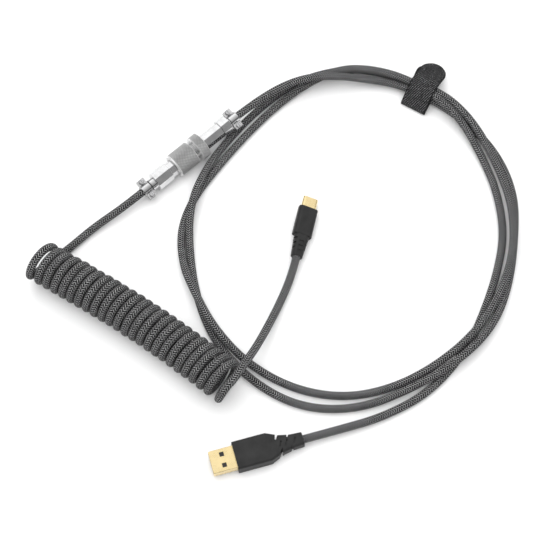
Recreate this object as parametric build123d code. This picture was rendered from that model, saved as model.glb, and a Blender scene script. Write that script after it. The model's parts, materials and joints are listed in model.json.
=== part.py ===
from build123d import *
import math
import os

# A braided keyboard cable in two halves. The straight half runs from a screw-coupled round socket to a
# USB-A plug, and its loop is held together by a hook-and-loop strap. The coiled half runs from the round
# plug through a curly stretch to a USB-C plug. Millimetres. The cable lies on the plane z = 0, and the
# origin is on that plane, below the middle of the metal, plastic and strap pieces. +Z is up.

# Braided cable
CORD_D = 4.2
ARC_SHARE = 0.45
COIL_D = 23.0
STRAND_COUNT = 4
STRAND_R = 0.35
STRAND_CIRCLE_R = 0.85

# Round connector. Stations run along its axis from the coiled half's clamp.
CONNECTOR_START = (-82.7, 37.8, 5.9)
CONNECTOR_HEADING = 42.0
CONNECTOR_TILT = 3.0
CONNECTOR_ROLL = 14.0
CONNECTOR_LENGTH = 67.9
CLAMP_LENGTH = 5.6
PLUG_BACKSHELL_START = 8.7
PLUG_SHELL_START = 18.4
NUT_START = 22.2
NUT_END = 35.4
SOCKET_START = 32.0
GRIP_START = 37.7
GRIP_END = 42.9
SOCKET_BARREL_END = 55.8
SOCKET_BACKSHELL_END = 61.4
INNER_CORD = 8.5
WIDE_FLAT_R = 5.0
NARROW_FLAT_R = 4.2
NIPPLE_R = 4.0
NIPPLE_BORE_R = 3.3
NIPPLE_LENGTH = 3.0
NECK_R = 3.4
END_WALL = 1.5
CORD_HOLE_R = 2.15
THREAD_R = 6.0
THREAD_PITCH = 1.0
THREAD_DEPTH = 0.45
RUNNING_FIT = 0.05
SLEEVE_R = 4.55
SLEEVE_BORE_R = 3.9
SLEEVE_END = 38.0
FLANGE_R = 5.7
FLANGE_START = 30.5
FLANGE_END = 31.7
PLUG_INSERT_START = 23.2
PLUG_INSERT_END = 30.0
SOCKET_INSERT_START = 33.0
SOCKET_INSERT_STEP = 38.3
SOCKET_INSERT_END = 42.0
SOCKET_INSERT_R = 3.8
SOCKET_BORE_R = SLEEVE_R + RUNNING_FIT
GRIP_R = 7.4
GRIP_SEAT_R = 5.6
NUT_R = 7.0
NUT_LIP_R = 6.5
NUT_LIP = 0.9
NUT_BACK_R = 4.95
NUT_BORE_R = THREAD_R + RUNNING_FIT
POCKET_R = 6.25
POCKET_START = 28.85
POCKET_END = 30.25
RING_R = 6.15
RING_START = 28.95
RING_END = 30.15
KEY_WIDTH = 1.4
KEYWAY_WIDTH = 1.6
KEYWAY_GAP = 0.3
KEY_R = 4.0
CONTACT_COUNT = 5
CONTACT_CIRCLE_R = 2.2
CONTACT_R = 0.85
CONTACT_BORE_R = 0.55
PIN_R = 0.5
PIN_END = 35.8
CUP_DEPTH = 2.0
WIRE_SEAT = 1.0
PLUG_CUP_START = 19.5
SOCKET_CONTACT_START = 33.2
SOCKET_CUP_END = 45.5
CONTACT_BORE_DEPTH = 4.0
WIRE_R = 0.4
WIRE_CIRCLE_R = 1.1

# Cable clamp: a tongue under the cable, a saddle over it, and two screws through their ears
TONGUE_R = 3.2
EAR_INNER = 2.8
EAR_OUTER = 6.0
EAR_START = 0.5
EAR_END = 5.1
EAR_THICKNESS = 1.0
TONGUE_EAR_TOP = -0.5
SADDLE_EAR_BOTTOM = 0.35
SCREW_X = 4.5
SCREW_STATION = 2.8
SCREW_R = 0.8
SCREW_HEAD_R = 1.45
SCREW_HEAD_HEIGHT = 1.1
SCREW_HEAD_CHAMFER = 0.28
SCREW_TIP = -2.1
DRIVE_SLOT_WIDTH = 0.45
DRIVE_SLOT_DEPTH = 0.5

# USB-A plug. Its own frame has the cable's entry at the origin and the mouth along +Y.
USB_A_ENTRY = (3.0, -102.2, 4.0)
USB_A_HEADING = 195.8
A_BOOT_LENGTH = 17.8
A_BOOT_SECTIONS = ((0, 6.8, 6.2), (6.0, 7.4, 6.2), (11.6, 9.8, 6.4), (17.8, 15.0, 8.0))
A_BOOT_CORNER = 1.4
A_HOUSING_WIDTH = 15.0
A_HOUSING_THICKNESS = 8.0
A_HOUSING_LENGTH = 17.5
A_HOUSING_CORNER = 1.2
A_SLOT_STATIONS = ((1, 15.0), (-1, 10.0), (1, 8.9), (-1, 4.6))
A_SLOT_LEAN = -26.0
A_SLOT_WIDTH = 0.6
A_SLOT_MOUTH = 1.9
A_SLOT_FLOOR = 2.85
A_POCKET_STATIONS = (11.7, 8.6, 4.4)
A_POCKET_SIZE = (3.2, 0.8)
A_POCKET_FLOOR = 2.35
A_SHELL_WIDTH = 12.0
A_SHELL_HEIGHT = 4.5
A_SHELL_WALL = 0.3
A_SHELL_REACH = 12.5
A_SHELL_SEAT = 7.0
A_WINDOW = 2.3
A_WINDOW_X = 2.9
A_WINDOW_FROM_TIP = 6.3
A_CAVITY_WIDTH = 11.4
A_CAVITY_HEIGHT = 3.2
A_CAVITY_START = 20.5
A_TONGUE_WIDTH = 11.1
A_TONGUE_BOTTOM = 0.05
A_TONGUE_TOP = 1.9
A_TONGUE_FROM_TIP = 1.0
A_TONGUE_LENGTH = 16.5
A_CONTACT_X = (-3.5, -1.0, 1.0, 3.5)
A_CONTACT_WIDTH = 1.0
A_CONTACT_THICKNESS = 0.2
A_CONTACT_START = 29.0
A_CONTACT_FROM_TIP = 1.6
A_BOARD_WIDTH = 10.8
A_BOARD_THICKNESS = 1.0
A_BOARD_START = 21.5
A_BOARD_END = 33.0
A_CORD_SEAT = 6.0
WIRE_CHANNEL_R = 1.6

# USB-C plug, in the same sort of frame, rolled about its own axis
USB_C_ENTRY = (0.4, -0.4, 4.3)
USB_C_HEADING = 77.2
USB_C_ROLL = 20.0
C_BOOT_LENGTH = 12.8
C_BOOT_SECTIONS = ((0, 6.2, 5.4), (12.8, 8.2, 5.6))
C_BOOT_CORNER = 2.2
C_POCKET_STATIONS = (3.0, 5.8, 8.6)
C_POCKET_SIZE = (2.6, 1.1)
C_POCKET_FLOOR = 2.3
C_SLOT_STATIONS = (4.4, 7.2, 10.0)
C_SIDE_SLOT_WIDTH = 0.9
C_SIDE_SLOT_FLOOR = 2.6
C_HOUSING_WIDTH = 10.6
C_HOUSING_THICKNESS = 6.0
C_HOUSING_LENGTH = 16.5
C_HOUSING_CORNER = 2.2
C_SHELL_WIDTH = 8.34
C_SHELL_HEIGHT = 2.56
C_SHELL_WALL = 0.25
OVAL_SHARE = 0.499
C_SHELL_REACH = 6.65
C_SHELL_SEAT = 5.0
C_CAVITY_WIDTH = 8.4
C_CAVITY_HEIGHT = 2.0
C_CAVITY_START = 15.2
C_SLOT_WIDTH = 6.7
C_SLOT_HEIGHT = 1.0
C_SLOT_DEPTH = 6.0
C_INSERT_START = 25.0
C_INSERT_RECESS = 0.3
C_CONTACT_COUNT = 12
C_CONTACT_PITCH = 0.5
C_CONTACT_WIDTH = 0.28
C_CONTACT_THICKNESS = 0.12
C_CONTACT_LENGTH = 5.0
C_BOARD_WIDTH = 7.4
C_BOARD_THICKNESS = 0.8
C_BOARD_START = 15.6
C_CORD_SEAT = 4.0

# Hook-and-loop strap round the bundle: a folded tape whose round-ended tab peels off the lower layer
STRAP_CENTRE = (72.0, 103.3, 0.0)
STRAP_HEADING = 59.5
STRAP_WIDTH = 15.0
STRAP_THICKNESS = 1.0
TAB_HINGE = (3.2, 10.5)
TAB_END = (18.3, 5.3)
BAND_SETBACK = 2.2
BAND_LINE = ((15.2, 4.6), (11.0, 6.15), (6.4, 0.5), (-11.3, 0.5), (-11.3, 1.9), (-3.2, 10.5), (1.9, 10.5))
BAND_RADII = (1.5, 2.0, 0.6, 0.6, 2.4)

# Routes of the cable's centre line
STRAIGHT_ROUTE = (
    (-38.62, 77.49, 9.01), (-21.92, 92.53, 10.19), (0, 106.5, 10.3), (20, 110, 9.6), (41, 110.5, 4.6),
    (60, 107.5, 3.5), (79, 96.5, 3.4), (97, 82.5, 2.1), (111.5, 63.5, 2.1), (119.5, 38, 2.1),
    (117.5, 10, 2.1), (112.5, -17, 2.1), (102.5, -41, 5.2), (84.5, -60, 7.4), (60.5, -74.5, 4.8),
    (32, -85.5, 2.1), (3, -85, 2.1), (-22, -71.5, 2.1), (-42.5, -48.5, 2.1), (-52.5, -23, 2.1),
    (-57, 5, 2.1), (-56.8, 29.5, 7.6), (-49.2, 51.5, 6), (-37.5, 72, 2.1), (-20, 93, 2.1), (2, 111.5, 2.1),
    (30, 119.5, 2.1), (51, 115.8, 2.1), (69, 108.5, 3.3), (86, 97.5, 6.8), (100, 79, 7.3),
    (110.8, 55, 4.4), (117, 29, 6.6), (116, 3, 7.2), (108.5, -20, 5.8), (96, -41.5, 6.6), (76.5, -60, 6.2),
    (52.5, -73, 2.1), (26, -79.5, 2.1), (-1, -75, 2.1), (-25.3, -61, 2.8), (-42.9, -42.2, 6.6),
    (-53.6, -21.3, 7.2), (-60, -5, 4.2), (-62, 17, 2.1), (-55, 37, 2.1), (-40.5, 58.5, 2.1),
    (-24.5, 79, 2.1), (-8, 96.8, 2.1), (9, 109, 4.4), (27, 116.5, 7), (47, 115, 7.2), (65, 108, 7.3),
    (80, 96, 7.9), (92.3, 83, 6.4), (103, 62, 2.1), (110, 40, 2.1), (112.2, 15, 2.1), (107.5, -7, 2.1),
    (100.5, -27, 2.1), (90, -50.5, 2.1), (69.5, -75.5, 2.1), (44.5, -89.5, 2.1), (20.32, -97.3, 4),
    (-2.77, -103.83, 4),
)
LEAD_ROUTE = (
    (-76.39, 43.48, 6.34), (-91.61, 29.78, 5.27), (-108, 18, 3.2), (-119, 7.8, 2.1), (-130.5, -2.8, 2.1),
)
COIL_ROUTE = (
    (-137, -4.6, 11.5), (-112, -19.8, 11.5), (-86.5, -35.8, 11.5), (-61, -53.8, 11.5),
    (-32.8, -76.2, 11.5),
)
TAIL_ROUTE = (
    (-34, -76, 20.9), (-27.5, -66, 19), (-21.5, -54.5, 10.5), (-14.5, -40, 5), (-7.5, -24.5, 2.8),
    (-1.82, -10.15, 4.3), (1.29, 3.5, 4.3),
)

CONNECTOR_AXIS = Vector(1, 0, 0).rotate(Axis.Y, -CONNECTOR_TILT).rotate(Axis.Z, CONNECTOR_HEADING)
CONNECTOR_SIDE = Vector(-1, 0, 0).rotate(Axis.Z, CONNECTOR_HEADING - 90)
PLUG_FRAME = Plane(origin=CONNECTOR_START, x_dir=CONNECTOR_SIDE, z_dir=CONNECTOR_AXIS).location
USB_A_FRAME = Location(USB_A_ENTRY, (0, 0, USB_A_HEADING - 90))
USB_C_FRAME = Location(USB_C_ENTRY, (0, 0, USB_C_HEADING - 90)) * Rot(0, USB_C_ROLL, 0)
STRAP_PLANE = Plane(
    origin=STRAP_CENTRE,
    x_dir=Vector(1, 0, 0).rotate(Axis.Z, STRAP_HEADING),
    z_dir=Vector(0, -1, 0).rotate(Axis.Z, STRAP_HEADING),
)
OCTAGON_SIDES = 8
OCTAGON_TURN = 90 + CONNECTOR_ROLL


def rod(radius, start, end, x=0, y=0):
    """Cylinder along the local Z from one station to another."""
    return Pos(x, y, start) * Cylinder(radius, end - start, align=(Align.CENTER, Align.CENTER, Align.MIN))


def block(x_range, y_range, z_range):
    """Box given by its limits along each local axis."""
    size = [limits[1] - limits[0] for limits in (x_range, y_range, z_range)]
    middle = [(limits[1] + limits[0]) / 2 for limits in (x_range, y_range, z_range)]
    return Pos(*middle) * Box(*size)


def octagon(flat_radius, start, end):
    """Octagonal bar along the local Z, one edge of it turned by the connector's roll."""
    corner = flat_radius / math.cos(math.pi / OCTAGON_SIDES)
    outline = RegularPolygon(corner, OCTAGON_SIDES, rotation=OCTAGON_TURN)
    return extrude(Pos(0, 0, start) * outline, end - start)


def turned(profile):
    """Solid of revolution about the local Z from (radius, station) corners."""
    outline = Plane.XZ * Polygon(*profile, align=None)
    return revolve(outline, Axis.Z)


def around(count, radius):
    """Evenly spaced places on a circle about the local Z."""
    return [
        (radius * math.cos(2 * math.pi * k / count), radius * math.sin(2 * math.pi * k / count))
        for k in range(count)
    ]


def rod_between(start, end, radius):
    """Cylinder from one point to another."""
    start = Vector(*start)
    span = Vector(*end) - start
    return Plane(origin=start, z_dir=span).location * rod(radius, 0, span.length)


def corner_radii(points):
    """The largest arc that each corner's two runs leave room for."""
    radii = []
    for before, corner, after in zip(points, points[1:], points[2:]):
        arriving = Vector(*corner) - Vector(*before)
        leaving = Vector(*after) - Vector(*corner)
        half_turn = math.radians(arriving.get_angle(leaving)) / 2
        radii.append(ARC_SHARE * min(arriving.length, leaving.length) / math.tan(half_turn))
    return radii


def tube(name, points, diameter):
    """Round cord along straight runs joined by tangent arcs."""
    radii = corner_radii(points)
    path = FilletPolyline(*points, radius=radii)
    section = Plane(origin=path @ 0, z_dir=path % 0) * Circle(diameter / 2)
    solid = sweep(section, path=path)
    expected = math.pi * diameter ** 2 / 4 * path.length
    print(name, "length", round(path.length, 1), "volume ratio", round(solid.volume / expected, 4))
    print(name, "radii", [round(radius) for radius in radii])
    return solid


def clamp_parts():
    """Tongue, saddle and screws that hold the cable, in a frame that looks in from the clamp's end."""
    barrel = rod(TONGUE_R, 0, CLAMP_LENGTH) - rod(CORD_HOLE_R, 0, CLAMP_LENGTH)
    reach = EAR_OUTER + TONGUE_R
    below = block((-reach, reach), (-reach, TONGUE_EAR_TOP), (0, CLAMP_LENGTH))
    above = block((-reach, reach), (SADDLE_EAR_BOTTOM, reach), (0, EAR_END))
    tongue = barrel & below
    saddle = barrel & above
    shanks = []
    heads = []
    for side in (-1, 1):
        ear_x = sorted((side * EAR_INNER, side * EAR_OUTER))
        station = (EAR_START, EAR_END)
        tongue += block(ear_x, (TONGUE_EAR_TOP - EAR_THICKNESS, TONGUE_EAR_TOP), station)
        saddle += block(ear_x, (SADDLE_EAR_BOTTOM, SADDLE_EAR_BOTTOM + EAR_THICKNESS), station)
        seat = Pos(side * SCREW_X, SADDLE_EAR_BOTTOM + EAR_THICKNESS, SCREW_STATION) * Rot(-90, 0, 0)
        head = seat * chamfer_rim(SCREW_HEAD_R, SCREW_HEAD_HEIGHT, SCREW_HEAD_CHAMFER)
        slot = seat * Pos(0, 0, SCREW_HEAD_HEIGHT) * Box(
            2 * SCREW_HEAD_R, DRIVE_SLOT_WIDTH, 2 * DRIVE_SLOT_DEPTH
        )
        heads.append(head - slot)
        shanks.append(seat * rod(SCREW_R, SCREW_TIP - SADDLE_EAR_BOTTOM - EAR_THICKNESS, 0))
    for shank in shanks:
        tongue -= shank
        saddle -= shank
    screws = Compound(children=[head + shank for head, shank in zip(heads, shanks)])
    roll = Rot(0, 0, CONNECTOR_ROLL)
    return roll * tongue, roll * saddle, roll * screws


def chamfer_rim(radius, height, chamfer_size):
    """Low cylinder with its upper rim broken."""
    return turned(
        ((0, 0), (radius, 0), (radius, height - chamfer_size), (radius - chamfer_size, height), (0, height))
    )


def backshell(neck_end, barrel_end, tongue):
    """Octagonal backshell that screws onto the shell's nipple, with its neck and clamp tongue."""
    solid = octagon(WIDE_FLAT_R, neck_end, barrel_end) + rod(NECK_R, CLAMP_LENGTH, neck_end)
    solid -= rod(CORD_HOLE_R, CLAMP_LENGTH, neck_end + END_WALL)
    solid -= rod(NIPPLE_R, neck_end + END_WALL, barrel_end)
    return solid + tongue


def bundle_of_wires(start, start_radius, end, end_radius, count, radius):
    """Wires that fan out from the cable's cut end to their contacts."""
    wires = [
        rod_between((*inner, start), (*outer, end), radius)
        for inner, outer in zip(around(count, start_radius), around(count, end_radius))
    ]
    return Compound(children=wires)


def rounded_bar(width, height, corner, start, end):
    """Bar along the local Y with rounded long edges."""
    outline = RectangleRounded(width, height, corner)
    return extrude(Plane(origin=(0, end, 0), x_dir=(1, 0, 0), z_dir=(0, -1, 0)) * outline, end - start)


def section_at(station, width, height, corner):
    """Rounded rectangle across the local Y."""
    return Plane(origin=(0, station, 0), x_dir=(1, 0, 0), z_dir=(0, -1, 0)) * RectangleRounded(
        width, height, corner
    )


def rod_along(radius, start, end):
    """Cylinder along the local Y."""
    return Rot(-90, 0, 0) * rod(radius, start, end)


def tapered_bar(sections, corner):
    """Bar along the local Y through rounded sections, each a station, a width and a thickness."""
    outlines = [section_at(station, width, height, corner) for station, width, height in sections]
    solid = loft(outlines[:2], ruled=True)
    for pair in zip(outlines[1:], outlines[2:]):
        solid += loft(list(pair), ruled=True)
    return solid


def face_pockets(station, size, floor, height, lean):
    """Two cuts, into the upper and the lower face, that leave the middle of a bar whole."""
    width, length = size
    across = block((-width / 2, width / 2), (-length / 2, length / 2), (floor, height))
    return Pos(0, station, 0) * Rot(0, 0, lean) * (across + Rot(0, 180, 0) * across)


def round_ended_plan(round_centre):
    """Strap's plan, a straight run that ends in a half circle of its own width."""
    outline = Pos(round_centre, 0) * Circle(STRAP_WIDTH / 2)
    outline += Pos((round_centre - STRAP_WIDTH) / 2, 0) * Rectangle(round_centre + STRAP_WIDTH, STRAP_WIDTH)
    return Location(STRAP_CENTRE, (0, 0, STRAP_HEADING)) * extrude(outline, STRAP_WIDTH)


# Round connector, coiled half
plug_tongue, plug_saddle, plug_screws = clamp_parts()
plug_backshell = backshell(PLUG_BACKSHELL_START, PLUG_SHELL_START, plug_tongue)

plug_shell = octagon(NARROW_FLAT_R, PLUG_SHELL_START, NUT_START)
plug_shell += rod(NIPPLE_R, PLUG_SHELL_START - NIPPLE_LENGTH, PLUG_SHELL_START)
plug_shell += rod(SLEEVE_R, NUT_START, SLEEVE_END)
plug_shell += rod(FLANGE_R, FLANGE_START, FLANGE_END)
plug_shell -= rod(NIPPLE_BORE_R, PLUG_SHELL_START - NIPPLE_LENGTH, PLUG_INSERT_START)
plug_shell -= rod(SLEEVE_BORE_R, PLUG_INSERT_START, SLEEVE_END)
plug_shell -= block(
    (-KEYWAY_WIDTH / 2, KEYWAY_WIDTH / 2), (SOCKET_INSERT_R, FLANGE_R), (FLANGE_END + KEYWAY_GAP, SLEEVE_END)
)

contact_places = around(CONTACT_COUNT, CONTACT_CIRCLE_R)
plug_insert = rod(SLEEVE_BORE_R, PLUG_INSERT_START, PLUG_INSERT_END)
pins = []
for x, y in contact_places:
    plug_insert -= rod(CONTACT_R, PLUG_INSERT_START, PLUG_INSERT_END, x, y)
    pin = rod(CONTACT_R, PLUG_CUP_START, PLUG_INSERT_END, x, y)
    pin += rod(PIN_R, PLUG_INSERT_END, PIN_END, x, y)
    pins.append(pin - rod(CONTACT_BORE_R, PLUG_CUP_START, PLUG_CUP_START + CUP_DEPTH, x, y))
plug_pins = Compound(children=pins)
plug_wires = bundle_of_wires(
    INNER_CORD, WIRE_CIRCLE_R, PLUG_CUP_START + WIRE_SEAT, CONTACT_CIRCLE_R, CONTACT_COUNT, WIRE_R
)

# Coupling nut, and the snap ring that carries it along the plug's sleeve
coupling_nut = turned(
    (
        (NUT_BACK_R, NUT_START), (NUT_LIP_R, NUT_START), (NUT_LIP_R, NUT_START + NUT_LIP),
        (NUT_R, NUT_START + NUT_LIP), (NUT_R, NUT_END), (NUT_BORE_R, NUT_END),
        (NUT_BORE_R, POCKET_END), (POCKET_R, POCKET_END), (POCKET_R, POCKET_START),
        (NUT_BACK_R, POCKET_START),
    )
)
nut_ring = rod(RING_R, RING_START, RING_END) - rod(SLEEVE_R + RUNNING_FIT, RING_START, RING_END)

# Round connector, straight half
thread_profile = [(SOCKET_BORE_R, SOCKET_START)]
thread_turns = math.floor((GRIP_START - SOCKET_START) / THREAD_PITCH)
for turn in range(thread_turns):
    station = SOCKET_START + turn * THREAD_PITCH
    thread_profile.append((THREAD_R - THREAD_DEPTH, station))
    thread_profile.append((THREAD_R, station + THREAD_PITCH / 2))
thread_end = SOCKET_START + thread_turns * THREAD_PITCH
thread_profile += [
    (THREAD_R - THREAD_DEPTH, thread_end), (THREAD_R - THREAD_DEPTH, GRIP_START), (GRIP_SEAT_R, GRIP_START),
    (GRIP_SEAT_R, GRIP_END), (NIPPLE_R, GRIP_END), (NIPPLE_R, SOCKET_BARREL_END + NIPPLE_LENGTH),
    (NIPPLE_BORE_R, SOCKET_BARREL_END + NIPPLE_LENGTH), (NIPPLE_BORE_R, SOCKET_INSERT_END),
    (SOCKET_BORE_R, SOCKET_INSERT_END),
]
socket_shell = turned(thread_profile)
socket_shell += octagon(NARROW_FLAT_R, GRIP_END, SOCKET_BARREL_END) - rod(
    NIPPLE_R, GRIP_END, SOCKET_BARREL_END
)
socket_shell += block(
    (-KEY_WIDTH / 2, KEY_WIDTH / 2), (KEY_R, SOCKET_BORE_R + RUNNING_FIT), (SOCKET_START, SLEEVE_END)
)
socket_grip_ring = turned(
    (
        (GRIP_SEAT_R, GRIP_START), (GRIP_R, GRIP_START), (GRIP_R, GRIP_END), (GRIP_SEAT_R, GRIP_END),
    )
)
socket_insert = rod(SOCKET_INSERT_R, SOCKET_INSERT_START, SOCKET_INSERT_STEP)
socket_insert += rod(SOCKET_BORE_R, SOCKET_INSERT_STEP, SOCKET_INSERT_END)
contacts = []
for x, y in contact_places:
    socket_insert -= rod(CONTACT_R, SOCKET_INSERT_START, SOCKET_INSERT_END, x, y)
    contact = rod(CONTACT_R, SOCKET_CONTACT_START, SOCKET_CUP_END, x, y)
    contact -= rod(CONTACT_BORE_R, SOCKET_CONTACT_START, SOCKET_CONTACT_START + CONTACT_BORE_DEPTH, x, y)
    contacts.append(contact - rod(CONTACT_BORE_R, SOCKET_CUP_END - CUP_DEPTH, SOCKET_CUP_END, x, y))
socket_contacts = Compound(children=contacts)
socket_wires = bundle_of_wires(
    SOCKET_CUP_END - WIRE_SEAT, CONTACT_CIRCLE_R, CONNECTOR_LENGTH - INNER_CORD, WIRE_CIRCLE_R,
    CONTACT_COUNT, WIRE_R,
)
socket_tongue, socket_saddle, socket_screws = clamp_parts()
mirror_roll = Rot(0, 0, -2 * CONNECTOR_ROLL)
socket_backshell = octagon(
    WIDE_FLAT_R, SOCKET_BARREL_END, SOCKET_BACKSHELL_END
) - rod(NIPPLE_R, SOCKET_BARREL_END, SOCKET_BACKSHELL_END - END_WALL)
socket_neck_end = CONNECTOR_LENGTH - CLAMP_LENGTH
socket_backshell += rod(NECK_R, SOCKET_BACKSHELL_END, socket_neck_end)
socket_backshell -= rod(CORD_HOLE_R, SOCKET_BACKSHELL_END - END_WALL, socket_neck_end)
to_socket_end = Pos(0, 0, CONNECTOR_LENGTH) * Rot(0, 180, 0) * mirror_roll
socket_backshell += to_socket_end * socket_tongue
socket_saddle = to_socket_end * socket_saddle
socket_screws = to_socket_end * socket_screws

# USB-A plug
a_tip = A_BOOT_LENGTH + A_HOUSING_LENGTH + A_SHELL_REACH
a_housing_end = A_BOOT_LENGTH + A_HOUSING_LENGTH
a_seat_start = a_housing_end - A_SHELL_SEAT
a_inner_width = A_SHELL_WIDTH - 2 * A_SHELL_WALL
a_inner_height = A_SHELL_HEIGHT - 2 * A_SHELL_WALL

usb_a_housing = rounded_bar(
    A_HOUSING_WIDTH, A_HOUSING_THICKNESS, A_HOUSING_CORNER, A_BOOT_LENGTH, a_housing_end
)
usb_a_housing -= rounded_bar(A_SHELL_WIDTH, A_SHELL_HEIGHT, A_SHELL_WALL, a_seat_start, a_housing_end)
usb_a_housing -= block(
    (-A_CAVITY_WIDTH / 2, A_CAVITY_WIDTH / 2), (A_CAVITY_START, a_seat_start),
    (-A_CAVITY_HEIGHT / 2, A_CAVITY_HEIGHT / 2),
)
usb_a_housing -= rod_along(WIRE_CHANNEL_R, A_BOOT_LENGTH, A_CAVITY_START)

usb_a_boot = tapered_bar(A_BOOT_SECTIONS, A_BOOT_CORNER)
slot_outline = Polygon(
    (A_SLOT_FLOOR, -A_SLOT_WIDTH / 2), (A_HOUSING_WIDTH / 2, -A_SLOT_MOUTH / 2),
    (A_HOUSING_WIDTH / 2, A_SLOT_MOUTH / 2), (A_SLOT_FLOOR, A_SLOT_WIDTH / 2), align=None,
)
slot_cut = extrude(slot_outline, A_HOUSING_THICKNESS / 2, both=True)
for side, station in A_SLOT_STATIONS:
    turned_to_side = Rot(0, 0, A_SLOT_LEAN + 90 * (1 - side))
    usb_a_boot -= Pos(0, station, 0) * turned_to_side * slot_cut
for station in A_POCKET_STATIONS:
    usb_a_boot -= face_pockets(station, A_POCKET_SIZE, A_POCKET_FLOOR, A_HOUSING_THICKNESS, A_SLOT_LEAN)
usb_a_boot -= rod_along(CORD_HOLE_R, 0, A_CORD_SEAT)
usb_a_boot -= rod_along(WIRE_CHANNEL_R, A_CORD_SEAT, A_BOOT_LENGTH)

usb_a_shell = rounded_bar(A_SHELL_WIDTH, A_SHELL_HEIGHT, A_SHELL_WALL, a_seat_start, a_tip)
usb_a_shell -= block(
    (-a_inner_width / 2, a_inner_width / 2), (a_seat_start, a_tip),
    (-a_inner_height / 2, a_inner_height / 2),
)
for side in (-1, 1):
    usb_a_shell -= Pos(side * A_WINDOW_X, a_tip - A_WINDOW_FROM_TIP, 0) * Box(
        A_WINDOW, A_WINDOW, A_SHELL_HEIGHT
    )

a_tongue_end = a_tip - A_TONGUE_FROM_TIP
usb_a_tongue = block(
    (-A_TONGUE_WIDTH / 2, A_TONGUE_WIDTH / 2), (a_tongue_end - A_TONGUE_LENGTH, a_tongue_end),
    (A_TONGUE_BOTTOM, A_TONGUE_TOP),
)
contact_bottom = A_TONGUE_BOTTOM - A_CONTACT_THICKNESS
usb_a_contacts = Compound(
    children=[
        block(
            (x - A_CONTACT_WIDTH / 2, x + A_CONTACT_WIDTH / 2),
            (A_CONTACT_START, a_tip - A_CONTACT_FROM_TIP),
            (contact_bottom, A_TONGUE_BOTTOM),
        )
        for x in A_CONTACT_X
    ]
)
usb_a_board = block(
    (-A_BOARD_WIDTH / 2, A_BOARD_WIDTH / 2), (A_BOARD_START, A_BOARD_END),
    (contact_bottom - A_BOARD_THICKNESS, contact_bottom),
)
usb_a_wires = Rot(-90, 0, 0) * bundle_of_wires(
    A_CORD_SEAT + RUNNING_FIT, STRAND_CIRCLE_R, A_BOARD_START, STRAND_CIRCLE_R, STRAND_COUNT, STRAND_R
)

# USB-C plug
c_housing_end = C_BOOT_LENGTH + C_HOUSING_LENGTH
c_tip = c_housing_end + C_SHELL_REACH
c_seat_start = c_housing_end - C_SHELL_SEAT
c_inner_width = C_SHELL_WIDTH - 2 * C_SHELL_WALL
c_inner_height = C_SHELL_HEIGHT - 2 * C_SHELL_WALL

usb_c_housing = rounded_bar(
    C_HOUSING_WIDTH, C_HOUSING_THICKNESS, C_HOUSING_CORNER, C_BOOT_LENGTH, c_housing_end
)
usb_c_housing -= rounded_bar(
    C_SHELL_WIDTH, C_SHELL_HEIGHT, OVAL_SHARE * C_SHELL_HEIGHT, c_seat_start, c_housing_end
)
usb_c_housing -= block(
    (-C_CAVITY_WIDTH / 2, C_CAVITY_WIDTH / 2), (C_CAVITY_START, c_seat_start),
    (-C_CAVITY_HEIGHT / 2, C_CAVITY_HEIGHT / 2),
)
usb_c_housing -= rod_along(WIRE_CHANNEL_R, C_BOOT_LENGTH, C_BOARD_START)

usb_c_boot = tapered_bar(C_BOOT_SECTIONS, C_BOOT_CORNER)
for station in C_POCKET_STATIONS:
    usb_c_boot -= face_pockets(station, C_POCKET_SIZE, C_POCKET_FLOOR, C_HOUSING_THICKNESS, 0)
for station in C_SLOT_STATIONS:
    for side in (-1, 1):
        usb_c_boot -= block(
            sorted((side * C_SIDE_SLOT_FLOOR, side * C_HOUSING_WIDTH / 2)),
            (station - C_SIDE_SLOT_WIDTH / 2, station + C_SIDE_SLOT_WIDTH / 2),
            (-C_HOUSING_THICKNESS / 2, C_HOUSING_THICKNESS / 2),
        )
usb_c_boot -= rod_along(CORD_HOLE_R, 0, C_CORD_SEAT)
usb_c_boot -= rod_along(WIRE_CHANNEL_R, C_CORD_SEAT, C_BOOT_LENGTH)

usb_c_shell = rounded_bar(
    C_SHELL_WIDTH, C_SHELL_HEIGHT, OVAL_SHARE * C_SHELL_HEIGHT, c_seat_start, c_tip
)
usb_c_shell -= rounded_bar(c_inner_width, c_inner_height, OVAL_SHARE * c_inner_height, c_seat_start, c_tip)

c_insert_end = c_tip - C_INSERT_RECESS
usb_c_insert = rounded_bar(
    c_inner_width, c_inner_height, OVAL_SHARE * c_inner_height, C_INSERT_START, c_insert_end
)
usb_c_insert -= block(
    (-C_SLOT_WIDTH / 2, C_SLOT_WIDTH / 2), (c_insert_end - C_SLOT_DEPTH, c_insert_end),
    (-C_SLOT_HEIGHT / 2, C_SLOT_HEIGHT / 2),
)
c_strips = []
for index in range(C_CONTACT_COUNT):
    x = (index - (C_CONTACT_COUNT - 1) / 2) * C_CONTACT_PITCH
    for side in (-1, 1):
        face = side * C_SLOT_HEIGHT / 2
        c_strips.append(
            block(
                (x - C_CONTACT_WIDTH / 2, x + C_CONTACT_WIDTH / 2),
                (c_insert_end - C_SLOT_DEPTH, c_insert_end - C_SLOT_DEPTH + C_CONTACT_LENGTH),
                sorted((face, face - side * C_CONTACT_THICKNESS)),
            )
        )
usb_c_contacts = Compound(children=c_strips)
usb_c_board = block(
    (-C_BOARD_WIDTH / 2, C_BOARD_WIDTH / 2), (C_BOARD_START, C_INSERT_START),
    (-C_BOARD_THICKNESS / 2, C_BOARD_THICKNESS / 2),
)
usb_c_wires = Rot(-90, 0, 0) * bundle_of_wires(
    C_CORD_SEAT + RUNNING_FIT, STRAND_CIRCLE_R, C_BOARD_START, STRAND_CIRCLE_R, STRAND_COUNT, STRAND_R
)

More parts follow.
